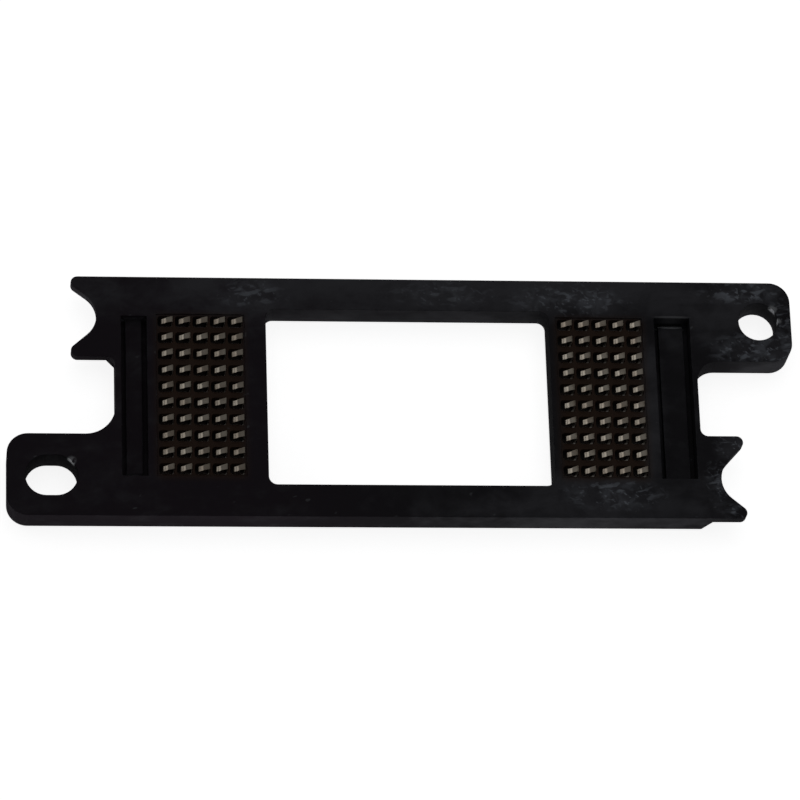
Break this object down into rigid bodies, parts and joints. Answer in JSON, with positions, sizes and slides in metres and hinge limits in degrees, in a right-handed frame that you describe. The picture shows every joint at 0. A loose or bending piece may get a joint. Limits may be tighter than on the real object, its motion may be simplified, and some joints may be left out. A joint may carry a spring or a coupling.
{
  "type": "ic socket",
  "caption": "Flat spring-contact socket: a black moulded frame with a window, two fields of gold C-spring contacts, and two ears with screw holes.",
  "frame": {"origin": "under the middle of the socket, at the height of the lower contact tips", "axes": "+X along the length towards the ear with the round hole, +Y across the frame towards that ear, +Z out of the face that the chip package rests on"},
  "size_m": [0.0452, 0.0146, 0.0022],
  "materials": {
    "housing": "black glass-filled moulding, semi-matt, lightly scuffed",
    "contact": "gold-plated stamped spring strip, satin"
  },
  "bodies": {
    "root": {"housing": "housing", "contacts_left_row_01": "contact", "contacts_left_row_02": "contact", "contacts_left_row_03": "contact", "contacts_left_row_04": "contact", "contacts_left_row_05": "contact", "contacts_left_row_06": "contact", "contacts_left_row_07": "contact", "contacts_left_row_08": "contact", "contacts_left_row_09": "contact", "contacts_left_row_10": "contact", "contacts_right_row_01": "contact", "contacts_right_row_02": "contact", "contacts_right_row_03": "contact", "contacts_right_row_04": "contact", "contacts_right_row_05": "contact", "contacts_right_row_06": "contact", "contacts_right_row_07": "contact", "contacts_right_row_08": "contact", "contacts_right_row_09": "contact", "contacts_right_row_10": "contact"}
  },
  "joints": []
}
